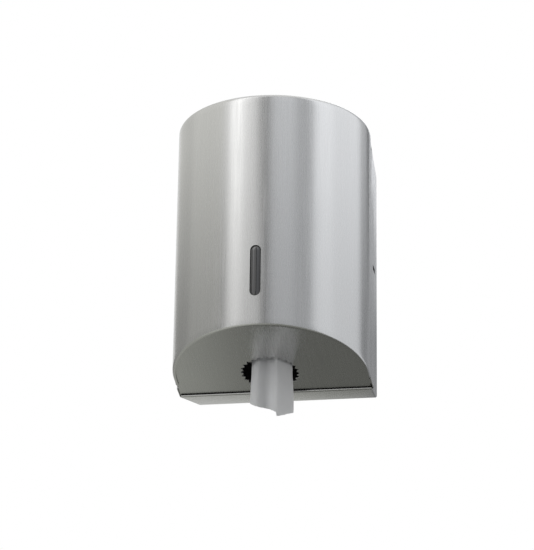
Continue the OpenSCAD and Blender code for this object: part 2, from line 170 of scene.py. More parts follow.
def grid_faces(columns: int, rows: int, closed: bool = False) -> list[Face]:
    """Number the faces of a grid whose points run row by row.

    Args:
        columns: points in a row.
        rows: number of rows.
        closed: whether the last column joins the first.

    Returns:
        Four corners for each face.
    """
    last = columns if closed else columns - 1
    return [
        (r * columns + c, r * columns + (c + 1) % columns,
         (r + 1) * columns + (c + 1) % columns, (r + 1) * columns + c)
        for r in range(rows - 1)
        for c in range(last)
    ]


def shade(obj: bpy.types.Object, angle: float = 32.0) -> None:
    """Shade a piece smooth, with edges sharper than the angle, in degrees, left crisp."""
    obj.data.polygons.foreach_set("use_smooth", [True] * len(obj.data.polygons))
    obj.data.set_sharp_from_angle(angle=math.radians(angle))


def apply_modifiers(obj: bpy.types.Object) -> None:
    """Turn what a piece's modifiers make into its own mesh.

    Args:
        obj: the piece.
    """
    graph = bpy.context.evaluated_depsgraph_get()
    made = bpy.data.meshes.new_from_object(obj.evaluated_get(graph))
    made.name = obj.data.name
    obj.modifiers.clear()
    obj.data = made


def thicken(obj: bpy.types.Object, thickness: float) -> None:
    """Give a surface the thickness of its sheet, inwards from the face that shows.

    Args:
        obj: the surface.
        thickness: the sheet's thickness.
    """
    solid = obj.modifiers.new("sheet", "SOLIDIFY")
    solid.thickness = thickness
    solid.offset = -1
    solid.use_even_offset = True
    solid.use_quality_normals = True
    apply_modifiers(obj)


def bevel(obj: bpy.types.Object, width: float, segments: int = 2, angle: float = 40.0) -> None:
    """Break the sharp edges of a piece.

    Args:
        obj: the piece.
        width: width of the broken edge.
        segments: faces across it.
        angle: degrees between two faces from which their edge counts as sharp.
    """
    edge = obj.modifiers.new("broken_edges", "BEVEL")
    edge.width = width
    edge.segments = segments
    edge.limit_method = "ANGLE"
    edge.angle_limit = math.radians(angle)


def cut(obj: bpy.types.Object, cutter: bpy.types.Object) -> None:
    """Take a shape out of a piece.

    Args:
        obj: the piece.
        cutter: the shape, which is deleted after the cut.
    """
    hole = obj.modifiers.new("cut", "BOOLEAN")
    hole.operation = "DIFFERENCE"
    hole.solver = "EXACT"
    hole.object = cutter
    apply_modifiers(obj)
    bpy.data.objects.remove(cutter)


def prism(name: str, outline: Sequence[Pair], axis: Axis, low: float, high: float) -> bpy.types.Object:
    """Make a straight bar of a closed outline, to cut with.

    Args:
        name: the object's name.
        outline: points in the two other axes, in X, Y, Z order.
        axis: the axis that the bar runs along.
        low: where the bar starts on that axis.
        high: where it ends.

    Returns:
        The bar.
    """
    count = len(outline)
    points = []
    for along in (low, high):
        for pair in outline:
            spot = list(pair)
            spot.insert(axis.value, along)
            points.append(tuple(spot))
    ends = [tuple(range(count)), tuple(range(2 * count - 1, count - 1, -1))]
    return mesh_object(name, points, ends + grid_faces(count, 2, closed=True))


def oblong(centre: Pair, size: Pair, radius: float, steps: int = 8) -> list[Pair]:
    """Outline of a rectangle with round corners.

    Args:
        centre: its middle.
        size: its two lengths.
        radius: the corners' radius.
        steps: points in each corner's arc, less one.

    Returns:
        Its points in order.
    """
    points = []
    for quarter, (side_a, side_b) in enumerate(((1, 1), (-1, 1), (-1, -1), (1, -1))):
        a = centre[0] + side_a * (size[0] / 2 - radius)
        b = centre[1] + side_b * (size[1] / 2 - radius)
        for i in range(steps + 1):
            turn = math.pi / 2 * (quarter + i / steps)
            points.append((a + radius * math.cos(turn), b + radius * math.sin(turn)))
    return points


@dataclass(frozen=True)
class BrushedSteel:
    """Stainless steel sheet with a belt-brushed satin face.

    The belt leaves fine straight scratches, so reflections are soft and are broken into faint
    lines along the grain.
    """

    name: str
    grain: Grain = Grain.UPRIGHT
    colour: str = "#C5C5C4"
    roughness: float = 0.22
    # Real scratches are about 0.1 mm wide: drawn coarser, so that they show
    grain_width_mm: float = 0.9
    grain_length_mm: float = 70.0
    cloud_mm: float = 60.0
    bump: float = 0.08

    @cache
    def material(self) -> bpy.types.Material:
        """Make the steel on its first use.

        Returns:
            The material.
        """
        made, tree = empty_material(self.name)
        place = add_node(tree, "ShaderNodeTexCoord", {}).outputs["Object"]
        across, along = 1 / (self.grain_width_mm * MM), 1 / (self.grain_length_mm * MM)
        scale = [across if fine else along for fine in self.grain.value]
        drawn = add_node(tree, "ShaderNodeMapping", {"Vector": place, "Scale": scale})
        grain = add_node(tree, "ShaderNodeTexNoise", {
            "Vector": drawn.outputs[0], "Scale": 1.0, "Detail": 3.0})
        clouds = add_node(tree, "ShaderNodeTexNoise", {
            "Vector": place, "Scale": 1 / (self.cloud_mm * MM), "Detail": 2.0})
        tone = add_node(tree, "ShaderNodeMapRange", {
            "Value": grain.outputs["Fac"], "From Min": 0.3, "From Max": 0.7,
            "To Min": self.roughness - 0.04, "To Max": self.roughness + 0.05})
        worn = add_node(tree, "ShaderNodeMath", {0: clouds.outputs["Fac"], 1: 0.06, 2: tone.outputs[0]},
                        operation="MULTIPLY_ADD")
        lines = add_node(tree, "ShaderNodeBump", {
            "Height": grain.outputs["Fac"], "Strength": self.bump, "Distance": 0.02 * MM})
        steel = add_node(tree, "ShaderNodeBsdfPrincipled", {
            "Base Color": to_linear(self.colour), "Metallic": 1.0, "Roughness": worn.outputs[0],
            "Normal": lines.outputs[0]})
        add_node(tree, "ShaderNodeOutputMaterial", {"Surface": steel.outputs[0]})
        return made


@dataclass(frozen=True)
class TurnedSteel:
    """Drawn or turned steel of pins, rivets and wire: brighter, with a fine even haze."""

    name: str = "stainless_steel_drawn"
    colour: str = "#CFCECB"
    roughness: float = 0.22
    haze_mm: float = 0.5

    @cache
    def material(self) -> bpy.types.Material:
        """Make the steel on its first use.

        Returns:
            The material.
        """
        made, tree = empty_material(self.name)
        place = add_node(tree, "ShaderNodeTexCoord", {}).outputs["Object"]
        haze = add_node(tree, "ShaderNodeTexNoise", {
            "Vector": place, "Scale": 1 / (self.haze_mm * MM), "Detail": 2.0})
        rough = add_node(tree, "ShaderNodeMapRange", {
            "Value": haze.outputs["Fac"],
            "To Min": self.roughness - 0.05, "To Max": self.roughness + 0.08})
        steel = add_node(tree, "ShaderNodeBsdfPrincipled", {
            "Base Color": to_linear(self.colour), "Metallic": 1.0, "Roughness": rough.outputs[0]})
        add_node(tree, "ShaderNodeOutputMaterial", {"Surface": steel.outputs[0]})
        return made


@dataclass(frozen=True)
class MouldedPlastic:
    """Black nylon from a spark-eroded mould: a dull, finely pebbled skin."""

    name: str = "nylon_black_moulded"
    colour: str = "#141415"
    roughness: float = 0.62
    pebble_mm: float = 0.6

    @cache
    def material(self) -> bpy.types.Material:
        """Make the plastic on its first use.

        Returns:
            The material.
        """
        made, tree = empty_material(self.name)
        place = add_node(tree, "ShaderNodeTexCoord", {}).outputs["Object"]
        pebble = add_node(tree, "ShaderNodeTexVoronoi", {
            "Vector": place, "Scale": 1 / (self.pebble_mm * MM)})
        rough = add_node(tree, "ShaderNodeMapRange", {
            "Value": pebble.outputs["Distance"],
            "To Min": self.roughness - 0.06, "To Max": self.roughness + 0.08})
        skin = add_node(tree, "ShaderNodeBump", {
            "Height": pebble.outputs["Distance"], "Strength": 0.25, "Distance": 0.05 * MM})
        plastic = add_node(tree, "ShaderNodeBsdfPrincipled", {
            "Base Color": to_linear(self.colour), "Roughness": rough.outputs[0], "IOR": 1.53,
            "Specular IOR Level": 0.1, "Normal": skin.outputs[0]})
        add_node(tree, "ShaderNodeOutputMaterial", {"Surface": plastic.outputs[0]})
        return made


@dataclass(frozen=True)
class SmokedAcrylic:
    """Dark smoked acrylic, cast and polished: nearly black, with clear sharp highlights."""

    name: str = "acrylic_smoked_polished"
    colour: str = "#1B1C1E"
    roughness: float = 0.08
    smear_mm: float = 9.0

    @cache
    def material(self) -> bpy.types.Material:
        """Make the acrylic on its first use.

        Returns:
            The material.
        """
        made, tree = empty_material(self.name)
        place = add_node(tree, "ShaderNodeTexCoord", {}).outputs["Object"]
        smear = add_node(tree, "ShaderNodeTexNoise", {
            "Vector": place, "Scale": 1 / (self.smear_mm * MM), "Detail": 3.0})
        rough = add_node(tree, "ShaderNodeMapRange", {
            "Value": smear.outputs["Fac"],
            "To Min": self.roughness - 0.04, "To Max": self.roughness + 0.08})
        acrylic = add_node(tree, "ShaderNodeBsdfPrincipled", {
            "Base Color": to_linear(self.colour), "Roughness": rough.outputs[0], "IOR": 1.58,
            "Transmission Weight": 0.25, "Coat Weight": 1.0, "Coat Roughness": 0.05, "Coat IOR": 1.7})
        add_node(tree, "ShaderNodeOutputMaterial", {"Surface": acrylic.outputs[0]})
        return made


@dataclass(frozen=True)
class TissuePaper:
    """Creped and embossed towel paper: dull, soft, with fine cross ridges and shallow dots."""

    name: str = "towel_paper_creped"
    colour: str = "#DADBDC"
    # Real crepe ridges are about 0.3 mm apart: drawn coarser, so that they show
    crepe_mm: float = 0.9
    # How dense the pattern is along the ridges, as a share of how dense it is across them
    crepe_draw: float = 0.12
    dot_mm: float = 4.0
    fibre_mm: float = 14.0

    @cache
    def material(self) -> bpy.types.Material:
        """Make the paper on its first use.

        Returns:
            The material.
        """
        made, tree = empty_material(self.name)
        place = add_node(tree, "ShaderNodeTexCoord", {}).outputs["Object"]
        along, across = self.crepe_draw / (self.crepe_mm * MM), 1 / (self.crepe_mm * MM)
        drawn = add_node(tree, "ShaderNodeMapping", {"Vector": place, "Scale": (along, along, across)})
        crepe = add_node(tree, "ShaderNodeTexNoise", {
            "Vector": drawn.outputs[0], "Scale": 1.0, "Detail": 2.0})
        dots = add_node(tree, "ShaderNodeTexVoronoi", {
            "Vector": place, "Scale": 1 / (self.dot_mm * MM), "Randomness": 0.3})
        fibre = add_node(tree, "ShaderNodeTexNoise", {
            "Vector": place, "Scale": 1 / (self.fibre_mm * MM), "Detail": 5.0})
        light = add_node(tree, "ShaderNodeMapRange", {
            "Value": fibre.outputs["Fac"], "To Min": 0.93, "To Max": 1.04})
        tint = add_node(tree, "ShaderNodeHueSaturation", {
            "Color": to_linear(self.colour), "Value": light.outputs[0]})
        embossed = add_node(tree, "ShaderNodeBump", {
            "Height": dots.outputs["Distance"], "Strength": 0.18, "Distance": 0.12 * MM})
        ridged = add_node(tree, "ShaderNodeBump", {
            "Height": crepe.outputs["Fac"], "Strength": 0.22, "Distance": 0.08 * MM,
            "Normal": embossed.outputs[0]})
        paper = add_node(tree, "ShaderNodeBsdfPrincipled", {
            "Base Color": tint.outputs[0], "Roughness": 0.92, "Specular IOR Level": 0.15,
            "Sheen Weight": 0.15, "Normal": ridged.outputs[0]})
        add_node(tree, "ShaderNodeOutputMaterial", {"Surface": paper.outputs[0]})
        return made


@dataclass(frozen=True)
class WoundPaper:
    """End of a paper roll: the cut edges of many turns, seen as fine rings."""

    name: str = "towel_paper_wound"
    colour: str = "#D5D5D3"
    # Real turns are about 0.25 mm apart: drawn coarser, so that they show
    turn_mm: float = 1.3

    @cache
    def material(self, centre: Pair) -> bpy.types.Material:
        """Make the paper's wound ends on their first use.

        Args:
            centre: the roll's axis in plan.

        Returns:
            The material.
        """
        made, tree = empty_material(self.name)
        place = add_node(tree, "ShaderNodeTexCoord", {}).outputs["Object"]
        centred = add_node(tree, "ShaderNodeMapping", {
            "Vector": place, "Location": (-centre[0], -centre[1], 0)})
        # A ring pattern of scale 1 has 20 radians of phase to the metre
        rings = add_node(tree, "ShaderNodeTexWave", {
            "Vector": centred.outputs[0], "Scale": 2 * math.pi / (20 * self.turn_mm * MM),
            "Distortion": 1.5, "Detail": 2.0, "Detail Scale": 0.4}, wave_type="RINGS", rings_direction="Z")
        light = add_node(tree, "ShaderNodeMapRange", {
            "Value": rings.outputs["Fac"], "To Min": 0.80, "To Max": 1.03})
        tint = add_node(tree, "ShaderNodeHueSaturation", {
            "Color": to_linear(self.colour), "Value": light.outputs[0]})
        ridged = add_node(tree, "ShaderNodeBump", {
            "Height": rings.outputs["Fac"], "Strength": 0.3, "Distance": 0.15 * MM})
        paper = add_node(tree, "ShaderNodeBsdfPrincipled", {
            "Base Color": tint.outputs[0], "Roughness": 0.95, "Specular IOR Level": 0.1,
            "Normal": ridged.outputs[0]})
        add_node(tree, "ShaderNodeOutputMaterial", {"Surface": paper.outputs[0]})
        return made


UPRIGHT_STEEL = BrushedSteel("stainless_steel_brushed_upright")
BASE_STEEL = BrushedSteel("stainless_steel_brushed_deep", Grain.DEPTH, bump=0.05)
INNER_STEEL = BrushedSteel("stainless_steel_brushed_inner", Grain.ACROSS, "#B5B5B3", 0.36)
TURNED_STEEL = TurnedSteel()
BLACK_PLASTIC = MouldedPlastic()
SMOKED_ACRYLIC = SmokedAcrylic()
TOWEL = TissuePaper()
ROLL_END = WoundPaper()


def dress_node(node: str, material: bpy.types.Material, edge: float = 0.15 * MM) -> None:
    """Give a solid of the frame its finish, broken edges and smooth round faces.

    Args:
        node: the solid's name.
        material: its finish.
        edge: width of its broken edges, or 0 for none.
    """
    obj = frame["nodes"][node]
    obj.data.materials.clear()
    obj.data.materials.append(material)
    shade(obj)
    if edge:
        flat = obj.modifiers.new("flat_faces", "DECIMATE")
        flat.decimate_type = "DISSOLVE"
        flat.angle_limit = math.radians(0.5)
        bevel(obj, edge)
    LOG.info("dressed %s in %s", node, material.name)


def finish_piece(
        obj: bpy.types.Object, body: str, nodes: Sequence[str],
        material: bpy.types.Material) -> None:
    """Dress a modelled piece, tie it to the body that it moves with and hide the solids that it stands for.

    Args:
        obj: the piece.
        body: the body that it moves with.
        nodes: the solids that it stands for.
        material: its finish, unless it has its own.
    """
    if not obj.data.materials:
        obj.data.materials.append(material)
    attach(obj, body)
    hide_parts(*nodes)
    LOG.info("built %s for %s on %s", obj.name, ", ".join(nodes), body)


@dataclass(frozen=True)
class CaseSizes:
    """Main sizes of the case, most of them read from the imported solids."""

    half_w: float
    plan_y: float
    rear_y: float
    top_z: float
    edge_z: float
    sheet: float = 1.0 * MM
    slope: float = math.radians(12.0)
    # Depth of the left wall's front edge, which leaves room for the hinge
    left_y: float = -51.35 * MM

    @classmethod
    def from_frame(cls) -> "CaseSizes":
        """Read the sizes from the frame.

        Returns:
            The case's sizes.
        """
        low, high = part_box("cover_wrap")
        _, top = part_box("cover_top")
        plan_y = low.y + high.x
        edge_z = low.z + math.tan(cls.slope) * (high.y - plan_y)
        return cls(half_w=high.x, plan_y=plan_y, rear_y=high.y, top_z=top.z, edge_z=edge_z)

    def lower_edge(self, y: float) -> float:
        """Height of the cover's sloping lower edge at depth y."""
        return self.edge_z - math.tan(self.slope) * (y - self.plan_y)


@dataclass
class Cover:
    """Hinged cover: the curved shell with its top, the window and the fittings inside."""

    case: CaseSizes
    lip_round: float = 3.0 * MM
    lip_flat: float = 1.0 * MM
    top_round: float = 6.0 * MM
    rear_lip: float = 12.0 * MM
    hinge_gap: float = 3.65 * MM
    side_length: float = 2.0 * MM
    step_deg: float = 1.5
    row_height: float = 6.0 * MM
    round_steps: int = 6
    window_z: float = field(init=False)
    window_size: Pair = (13.0 * MM, 64.0 * MM)
    window_gap: float = 0.3 * MM
    window_proud: float = 0.6 * MM
    window_depth: float = 2.5 * MM
    window_crown: float = 1.9 * MM
    # Share of the window's width that its crown takes on each side
    crown_share: float = 0.45
    crown_steps: int = 8

    def __post_init__(self) -> None:
        """Take the window's height from its solid."""
        low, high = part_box("sight_window")
        self.window_z = (low.z + high.z) / 2

    def stations(self) -> list[Station]:
        """Walk round the plan from the hinge side, along the front, to the free side.

        Returns:
            The stations.
        """
        case = self.case
        side_y = case.plan_y + self.side_length
        places = [Station(-case.half_w, y, -1, 0) for y in (case.rear_y, side_y)]
        steps = round(180 / self.step_deg)
        for i in range(steps + 1):
            turn = math.pi * (1 + i / steps)
            out_x, out_y = math.cos(turn), math.sin(turn)
            places.append(Station(case.half_w * out_x, case.plan_y + case.half_w * out_y, out_x, out_y))
        places += [Station(case.half_w, y, 1, 0) for y in (side_y, case.rear_y)]
        return places

    def rows(self) -> list[tuple[float, float, float]]:
        """List the rows of the shell from its inner lower lip to its flat top.

        Returns:
            For each row its distance in from the outline, its share of the height from the lower
            edge's plane to the top, and its height above that share's plane.
        """
        arc = [math.pi / 2 * i / self.round_steps for i in range(self.round_steps + 1)]
        lip = [(self.lip_round + self.lip_flat, 0.0, 0.0)]
        lip += [(self.lip_round * (1 - math.sin(a)), 0.0, self.lip_round * (1 - math.cos(a))) for a in arc]
        count = round((self.case.top_z - self.case.edge_z) / self.row_height)
        wall = [
            (0.0, i / count, self.lip_round * (1 - i / count) - self.top_round * i / count)
            for i in range(1, count + 1)
        ]
        rim = [
            (self.top_round * (1 - math.cos(a)), 1.0, self.top_round * (math.sin(a) - 1))
            for a in arc[1:]
        ]
        return lip + wall + rim

    def shell(self) -> None:
        """Build the curved sheet with its turned-in lower lip, round rim, flat top and rear lip."""
        case = self.case
        stations = self.stations()
        rows = self.rows()
        columns = len(stations)
        lip_z = case.top_z - self.rear_lip
        points = []
        for inset, share, rise in rows:
            for i, place in enumerate(stations):
                x, y = place.x - inset * place.out_x, place.y - inset * place.out_y
                z = case.lower_edge(y) * (1 - share) + case.top_z * share + rise
                if i == 0 and z < lip_z:
                    y -= self.hinge_gap
                points.append((x, y, z))
        faces = grid_faces(columns, len(rows))
        last = (len(rows) - 1) * columns
        faces.append(tuple(range(last, last + columns)))
        rim = [r for r in range(len(rows)) if rows[r][1] == 1.0]
        left_rim = [r * columns for r in rim]
        right_rim = [r * columns + columns - 1 for r in rim]
        low_left = len(points)
        points += [(-case.half_w, case.rear_y, lip_z), (case.half_w, case.rear_y, lip_z)]
        faces.append(tuple([low_left, low_left + 1] + right_rim + left_rim[::-1]))
        shell = mesh_object("cover_shell", points, faces)
        thicken(shell, case.sheet)
        outline = oblong((0, self.window_z), self.window_size, self.window_size[0] / 2, 12)
        cut(shell, prism("window_cutter", outline, Axis.Y, case.plan_y - 2 * case.half_w, case.plan_y))
        shade(shell)
        finish_piece(shell, "cover", ["cover_wrap", "cover_top"], UPRIGHT_STEEL.material())

    def window(self) -> None:
        """Build the smoked window: a softly crowned oblong that stands a little out of the cover."""
        case = self.case
        width, length = (side - 2 * self.window_gap for side in self.window_size)
        front = case.half_w + self.window_proud
        # Each ring: how far it lies in from the outline, and its distance from the plan's centre
        rings = [(0.0, case.half_w - self.window_depth)]
        for i in range(self.crown_steps + 1):
            share = i / self.crown_steps
            inset = self.crown_share * width * share
            rings.append((inset, front - self.window_crown * (1 - share) ** 2))
        points = []
        for inset, radius in rings:
            size = (width - 2 * inset, length - 2 * inset)
            outline = oblong((0, self.window_z), size, size[0] / 2 * ROUND_END, 10)
            points += [(x, case.plan_y - math.sqrt(radius ** 2 - x ** 2), z) for x, z in outline]
        columns = len(points) // len(rings)
        last = (len(rings) - 1) * columns
        faces = grid_faces(columns, len(rings), closed=True)
        faces.append(tuple(range(last, last + columns)))
        faces.append(tuple(range(columns - 1, -1, -1)))
        pane = mesh_object("window_pane", points, faces)
        shade(pane, 60)
        finish_piece(pane, "cover", ["sight_window"], SMOKED_ACRYLIC.material())

    def build(self) -> None:
        """Build the cover's pieces and dress its solids."""
        self.shell()
        self.window()
        for node in ("hinge_cover_leaf", "strike_plate", "window_frame"):
            dress_node(node, INNER_STEEL.material())
        dress_node("window_studs", TURNED_STEEL.material(), 0)
        dress_node("window_nuts", TURNED_STEEL.material())


@dataclass
class BentSheet:
    """Corners and faces of a bent sheet, laid row by row."""

    points: list[Point] = field(default_factory=list)
    faces: list[Face] = field(default_factory=list)

    def add_row(self, points: Sequence[Point]) -> list[int]:
        """Add a row of corners.

        Args:
            points: the corners.

        Returns:
            Their numbers.
        """
        start = len(self.points)
        self.points += points
        return list(range(start, len(self.points)))

    def join(self, lower: Sequence[int], upper: Sequence[int]) -> None:
        """Fill the strip between two rows with faces.

        Args:
            lower: the row that each face starts on.
            upper: the row that it reaches, with as many corners.
        """
        for i in range(len(lower) - 1):
            self.faces.append((lower[i], lower[i + 1], upper[i + 1], upper[i]))


@dataclass
class Tray:
    """Folded steel tray on the wall."""

    case: CaseSizes
    bend: float = 2.0 * MM
    bottom_depth: float = 33.0 * MM
    cant: float = 18.0 * MM
    top_fall: float = 25.0 * MM
    hem: float = 1.9 * MM
    # Length of wall over which its lower edge steps down to the bottom
    edge_step: float = 0.5 * MM
    wall_rows: int = 4
    corner_steps: int = 6
    bend_steps: int = 5
    # Reliefs in the right wall: depth and height, and the upper one's place from the front and top
    upper_relief: Pair = (6.0 * MM, 3.6 * MM)
    upper_place: Pair = (4.5 * MM, 7.5 * MM)
    lower_relief: Pair = (3.0 * MM, 6.0 * MM)
    relief_round: float = 0.7 * MM
    hole_d: float = 6.5 * MM
    hole_reach: float = 5.0 * MM
    slot: Pair = (18.0 * MM, 6.0 * MM)
    slot_round: float = 0.8 * MM
    cut_reach: float = 4.0 * MM

    def corner(self, before: Vector, at: Vector, after: Vector) -> list[Pair]:
        """Round one corner of the plan with the bend's radius.

        Args:
            before: the corner before it.
            at: the corner.
            after: the corner after it.

        Returns:
            Points along the arc.
        """
        back, ahead = (before - at).normalized(), (after - at).normalized()
        half = back.angle(ahead) / 2
        reach = self.bend / math.tan(half)
        start, end = at + back * reach, at + ahead * reach
        centre = at + (back + ahead).normalized() * (self.bend / math.sin(half))
        points = []
        for i in range(self.corner_steps + 1):
            spot = start.lerp(end, i / self.corner_steps)
            points.append(tuple(centre + (spot - centre).normalized() * self.bend))
        return points

    def outline(self) -> list[Station]:
        """Walk round the tray's walls from the right front edge to the left front edge.

        Returns:
            The stations, with one on each side of the place where the bottom starts on the right.
        """
        case = self.case
        side_y, low_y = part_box("back_tray")[0].y, -self.bottom_depth
        corners = [Vector(corner) for corner in (
            (case.half_w, side_y), (case.half_w, 0), (self.cant - case.half_w, 0),
            (-case.half_w, low_y), (-case.half_w, case.left_y))]
        path = [tuple(corners[0]), (case.half_w, low_y - self.edge_step), (case.half_w, low_y)]
        for before, at, after in zip(corners, corners[1:], corners[2:]):
            path += self.corner(before, at, after)
        path.append(tuple(corners[-1]))
        stations = []
        for i, (x, y) in enumerate(path):
            ahead = Vector(path[min(i + 1, len(path) - 1)])
            back = Vector(path[max(i - 1, 0)])
            along = (ahead - back).normalized()
            stations.append(Station(x, y, along.y, -along.x))
        return stations

    def top_at(self, y: float) -> float:
        """Height of the tray's sloping top at depth y."""
        low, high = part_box("back_tray")
        return high.z - self.top_fall * (y - low.y) / -low.y

    def has_bottom(self, place: Station) -> bool:
        """Tell whether the wall turns in to the bottom at a station."""
        return place.y >= -self.bottom_depth - 1e-6

    def arc(self, radius: float) -> list[Pair]:
        """Go round a bend of a quarter turn, without its start.

        Args:
            radius: the bend's radius.

        Returns:
            At each step, how far it has turned in and how far off it is from the level it turns to.
        """
        turns = [math.pi / 2 * (i + 1) / self.bend_steps for i in range(self.bend_steps)]
        return [(radius * (1 - math.cos(a)), radius * (1 - math.sin(a))) for a in turns]

    def sides(self, sheet: BentSheet, stations: Sequence[Station]) -> list[int]:
        """Raise the walls and bend them over to the sloping top.

        Args:
            sheet: the sheet to build on.
            stations: places round the walls.

        Returns:
            The walls' lowest row.
        """
        low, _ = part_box("back_tray")
        rows = []
        for row in range(self.wall_rows + 1):
            points = []
            for place in stations:
                foot = low.z + self.bend if self.has_bottom(place) else self.case.lower_edge(place.y)
                head = self.top_at(place.y) - self.bend
                points.append((place.x, place.y, foot + (head - foot) * row / self.wall_rows))
            rows.append(sheet.add_row(points))
        for inset, drop in self.arc(self.bend):
            points = []
            for place in stations:
                x, y = place.x - inset * place.out_x, place.y - inset * place.out_y
                points.append((x, y, self.top_at(y) - drop))
            rows.append(sheet.add_row(points))
        for lower, upper in zip(rows, rows[1:]):
            sheet.join(lower, upper)
        sheet.faces.append(tuple(rows[-1]))
        return rows[0]

    def bottom(self, sheet: BentSheet, stations: Sequence[Station], foot: Sequence[int]) -> None:
        """Bend the walls in to the level bottom and roll up its front edge.

        Args:
            sheet: the sheet to build on.
            stations: places round the walls.
            foot: the walls' lowest row.
        """
        low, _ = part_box("back_tray")
        row = [number for number, place in zip(foot, stations) if self.has_bottom(place)]
        places = [place for place in stations if self.has_bottom(place)]
        for inset, rise in self.arc(self.bend):
            new = sheet.add_row([
                (place.x - inset * place.out_x, place.y - inset * place.out_y, low.z + rise)
                for place in places])
            sheet.join(new, row)
            row = new
        sheet.faces.append(tuple(reversed(row)))
        edge = [row[0], row[-1]]
        corners = [sheet.points[number] for number in edge]
        for rise, left in self.arc(self.hem):
            new = sheet.add_row([(x, y - self.hem + left, z + rise) for x, y, z in corners])
            sheet.join(new, edge)
            edge = new

    def walls(self) -> None:
        """Build the tray's walls, sloping top, bottom and rolled hem from one bent sheet."""
        sheet = BentSheet()
        stations = self.outline()
        foot = self.sides(sheet, stations)
        self.bottom(sheet, stations, foot)
        tray = mesh_object("wall_tray", sheet.points, sheet.faces)
        thicken(tray, self.case.sheet)
        self.pierce(tray)
        shade(tray)
        finish_piece(tray, "housing", ["back_tray"], UPRIGHT_STEEL.material())

    def pierce(self, tray: bpy.types.Object) -> None:
        """Cut the wall holes, the button's slot and the relief notches.

        Args:
            tray: the tray's sheet.
        """
        case = self.case
        dims = next(m["dims"] for m in frame["record"]["mounts"] if m["name"] == "wall_mount")
        for side_x in (-0.5, 0.5):
            for side_z in (-0.5, 0.5):
                centre = (side_x * dims["spacing_x_mm"] * MM, side_z * dims["spacing_y_mm"] * MM)
                ring = oblong(centre, (self.hole_d, self.hole_d), self.hole_d / 2 * ROUND_END)
                cut(tray, prism("hole_cutter", ring, Axis.Y, -self.hole_reach, self.hole_reach))
        low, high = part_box("latch_button")
        button = ((low.y + high.y) / 2, (low.z + high.z) / 2)
        low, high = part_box("back_tray")
        upper = (low.y + self.upper_place[0], high.z - self.upper_place[1])
        lower = (-self.bottom_depth - self.lower_relief[0] / 2, case.lower_edge(-self.bottom_depth))
        for name, middle, size, radius in (
                ("slot_cutter", button, self.slot, self.slot_round),
                ("upper_relief_cutter", upper, self.upper_relief, self.relief_round),
                ("lower_relief_cutter", lower, self.lower_relief, self.relief_round)):
            ring = oblong(middle, size, radius, 4)
            cut(tray, prism(name, ring, Axis.X, case.half_w - self.cut_reach, case.half_w + self.cut_reach))

    def build(self) -> None:
        """Build the tray."""
        self.walls()


@dataclass
class Base:
    """Sloping base with the toothed outlet, and what stands on it."""

    case: CaseSizes
    recess: float = 1.3 * MM
    swing_gap: float = 1.2 * MM
    tuck_y: float = -25.0 * MM
    lip_y: float = -13.0 * MM
    neck_y: float = -34.0 * MM
    neck_left: float = -100.0 * MM
    # Slit by the tray's right wall: width and depth
    relief: Pair = (2.0 * MM, 8.0 * MM)
    outlet_y: float = -76.0 * MM
    outlet_r: float = 32.3 * MM
    tooth_depth: float = 4.0 * MM
    teeth: int = 26
    front_steps: int = 90
    cut_reach: float = 30.0 * MM
    edge: float = 0.2 * MM

    def under(self, y: float) -> float:
        """Height of the base's underside at depth y."""
        return self.case.lower_edge(min(y, self.tuck_y)) + self.recess

    def outline(self) -> list[Pair]:
        """Outline of the base: round front, wide sides behind the cover and narrow neck.

        Returns:
            Its points in order.
        """
        case = self.case
        radius = case.half_w - case.sheet - self.swing_gap
        wide = case.half_w - case.sheet
        turns = [math.pi * (1 + i / self.front_steps) for i in range(self.front_steps + 1)]
        front = [(radius * math.cos(t), case.plan_y + radius * math.sin(t)) for t in turns]
        neck_right, relief_y = wide - self.relief[0], self.neck_y - self.relief[1]
        right = [
            (radius, case.left_y), (wide, case.left_y), (wide, relief_y), (neck_right, relief_y),
            (neck_right, self.neck_y), (neck_right, self.tuck_y)]
        left = [
            (self.neck_left, self.tuck_y), (self.neck_left, self.neck_y), (-wide, self.neck_y),
            (-wide, case.left_y), (-radius, case.left_y)]
        return front + right + left

    def outlet(self) -> list[Pair]:
        """Outline of the outlet, with teeth that point inwards.

        Returns:
            Its points in order.
        """
        points = []
        for i in range(2 * self.teeth):
            radius = self.outlet_r + (i % 2) * self.tooth_depth
            turn = math.pi * i / self.teeth
            points.append((radius * math.cos(turn), self.outlet_y + radius * math.sin(turn)))
        return points

    def plate(self) -> None:
        """Build the base from its outline, cut the outlet and turn its rear lip flat."""
        outline = self.outline()
        count = len(outline)
        points = [(x, y, self.under(y)) for x, y in outline]
        neck = outline.index((self.neck_left, self.tuck_y))
        lip_z = self.under(self.lip_y)
        points += [(x, self.lip_y, lip_z) for x in (outline[neck][0], outline[neck - 1][0])]
        faces = [tuple(range(count - 1, -1, -1)), (count, count + 1, neck - 1, neck)]
        plate = mesh_object("base_sheet", points, faces)
        thicken(plate, self.case.sheet)
        height = self.under(self.outlet_y)
        ends = (height - self.cut_reach, height + self.cut_reach)
        cut(plate, prism("outlet_cutter", self.outlet(), Axis.Z, *ends))
        bevel(plate, self.edge)
        shade(plate)
        finish_piece(plate, "housing", ["base_plate"], BASE_STEEL.material())

    def build(self) -> None:
        """Build the base and dress the shelf, the guide, their rivets and the hinge's fixed half."""
        self.plate()
        dress_node("outlet_guide", BLACK_PLASTIC.material(), 0.3 * MM)
        for node in ("roll_shelf", "hinge_tray_leaf"):
            dress_node(node, INNER_STEEL.material())
        for node in ("shelf_rivets", "guide_rivets"):
            dress_node(node, TURNED_STEEL.material())
        dress_node("hinge_pin", TURNED_STEEL.material(), 0.25 * MM)


